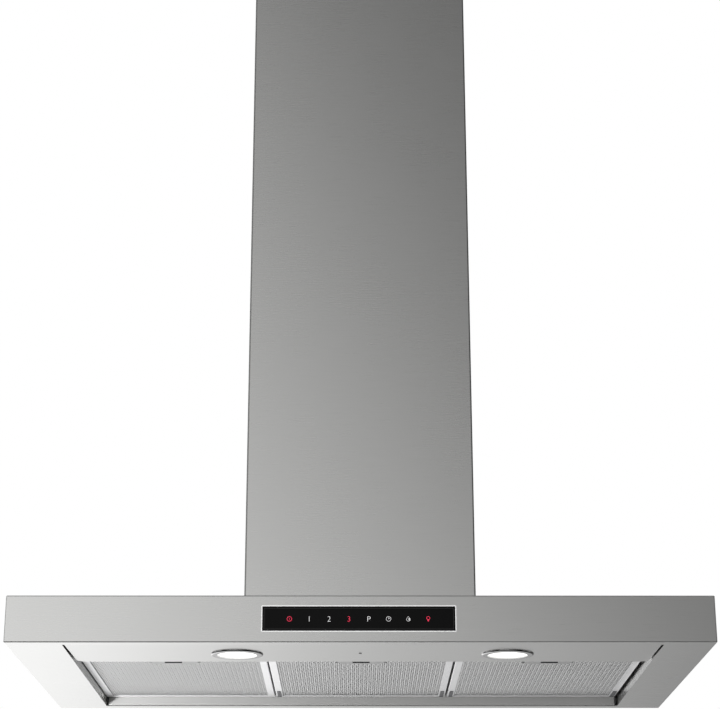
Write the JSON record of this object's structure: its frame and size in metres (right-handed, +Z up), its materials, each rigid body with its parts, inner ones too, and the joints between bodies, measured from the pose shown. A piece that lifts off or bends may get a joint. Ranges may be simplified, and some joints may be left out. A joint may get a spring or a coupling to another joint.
{
  "type": "range hood",
  "caption": "Wall-mounted T-shape chimney range hood in brushed steel with touch controls, lamps, tilting mesh filters, blower and telescopic chimney.",
  "frame": {"origin": "on the wall plane, midway between the canopy's sides and 29 mm above its underside", "axes": "+X to the right as seen from the front, +Y into the wall, +Z up"},
  "size_m": [0.897, 0.5005, 1.051],
  "materials": {
    "stainless": "horizontal brushed grain",
    "rail_steel": "matt",
    "polished_chrome": "polished",
    "matt_plate": "matt",
    "satin_steel": "fine satin",
    "galvanised": "plain galvanised sheet",
    "bright_rim": "bright satin",
    "aluminium": "satin",
    "mesh_aluminium": "expanded mesh",
    "screw_dark": "dark",
    "screw_bright": "zinc plated",
    "spring_steel": "bright",
    "motor_steel": "satin",
    "black_glass": "gloss black",
    "lamp_glass": "frosted",
    "circuit_board": "solder mask",
    "plastic_black": "moulded",
    "plastic_grey": "moulded",
    "plastic_white": "moulded",
    "rubber_black": "matt",
    "pad_grey": "matt"
  },
  "bodies": {
    "canopy": {"canopy_shell": "stainless", "canopy_back_panel": "galvanised", "rear_filter_rail": "rail_steel", "light_panel": "satin_steel", "light_panel_screw": "screw_dark", "lamp_driver": "plastic_white", "control_frame": "bright_rim", "control_glass": "black_glass", "control_board": "circuit_board", "touch_contacts": "spring_steel", "control_tray": "plastic_black", "filter_keepers": "spring_steel", "motor_box": "galvanised", "blower_housing": "plastic_grey", "inlet_rings": "plastic_grey", "motor_body": "motor_steel", "motor_bracket": "galvanised", "motor_grommets": "rubber_black", "capacitor": "plastic_white", "outlet_collar": "plastic_black", "damper_pin": "spring_steel", "electronics_box": "plastic_grey", "electronics_cover": "plastic_grey", "power_board": "circuit_board", "mains_gland": "plastic_black", "wiring_leads": "rubber_black", "chimney_lower": "stainless", "assembly_screws": "screw_bright", "lamp_left_bezel": "polished_chrome", "lamp_left_lens": "lamp_glass", "lamp_left_housing": "aluminium", "lamp_right_bezel": "polished_chrome", "lamp_right_lens": "lamp_glass", "lamp_right_housing": "aluminium"},
    "filter_left": {"filter_left_frame": "aluminium", "filter_left_mesh": "mesh_aluminium", "filter_left_escutcheon": "matt_plate", "filter_left_springs": "spring_steel"},
    "latch_left": {"filter_left_latch": "plastic_black"},
    "filter_middle": {"filter_middle_frame": "aluminium", "filter_middle_mesh": "mesh_aluminium", "filter_middle_escutcheon": "matt_plate", "filter_middle_springs": "spring_steel", "filter_middle_pads": "pad_grey"},
    "latch_middle": {"filter_middle_latch": "plastic_black"},
    "filter_right": {"filter_right_frame": "aluminium", "filter_right_mesh": "mesh_aluminium", "filter_right_escutcheon": "matt_plate", "filter_right_springs": "spring_steel", "filter_right_pads": "pad_grey"},
    "latch_right": {"filter_right_latch": "plastic_black"},
    "fan": {"fan_wheel": "plastic_black", "motor_shaft": "spring_steel"},
    "damper_front": {"damper_flap_front": "plastic_black"},
    "damper_rear": {"damper_flap_rear": "plastic_black"},
    "upper_section": {"chimney_upper": "stainless", "chimney_wall_bracket": "galvanised", "chimney_bracket_screws": "screw_bright"}
  },
  "joints": [
    {"name": "filter_left_tilt", "type": "hinge", "parent": "canopy", "child": "filter_left", "pos_m": [-0.251, -0.02, -0.0111], "axis": [1, 0, 0], "range_deg": [0, 40]},
    {"name": "filter_left_latch_slide", "type": "slide", "parent": "filter_left", "child": "latch_left", "axis": [0, 1, 0], "range_m": [0, 0.008], "stiffness_N_per_m": 400, "springref_m": -0.006, "deforming": ["filter_left_springs"]},
    {"name": "filter_middle_tilt", "type": "hinge", "parent": "canopy", "child": "filter_middle", "pos_m": [0.00125, -0.02, -0.0111], "axis": [1, 0, 0], "range_deg": [0, 40]},
    {"name": "filter_middle_latch_slide", "type": "slide", "parent": "filter_middle", "child": "latch_middle", "axis": [0, 1, 0], "range_m": [0, 0.008], "stiffness_N_per_m": 400, "springref_m": -0.006, "deforming": ["filter_middle_springs"]},
    {"name": "filter_right_tilt", "type": "hinge", "parent": "canopy", "child": "filter_right", "pos_m": [0.25425, -0.02, -0.0111], "axis": [1, 0, 0], "range_deg": [0, 40]},
    {"name": "filter_right_latch_slide", "type": "slide", "parent": "filter_right", "child": "latch_right", "axis": [0, 1, 0], "range_m": [0, 0.008], "stiffness_N_per_m": 400, "springref_m": -0.006, "deforming": ["filter_right_springs"]},
    {"name": "fan_spin", "type": "hinge", "parent": "canopy", "child": "fan", "pos_m": [0, -0.104, 0.15], "axis": [1, 0, 0], "continuous": true},
    {"name": "damper_front_swing", "type": "hinge", "parent": "canopy", "child": "damper_front", "pos_m": [0, -0.14, 0.385], "axis": [-1, 0, 0], "range_deg": [0, 75]},
    {"name": "damper_rear_swing", "type": "hinge", "parent": "canopy", "child": "damper_rear", "pos_m": [0, -0.14, 0.385], "axis": [1, 0, 0], "range_deg": [0, 75]},
    {"name": "chimney_extend", "type": "slide", "parent": "canopy", "child": "upper_section", "axis": [0, 0, 1], "range_m": [0, 0.35]}
  ]
}
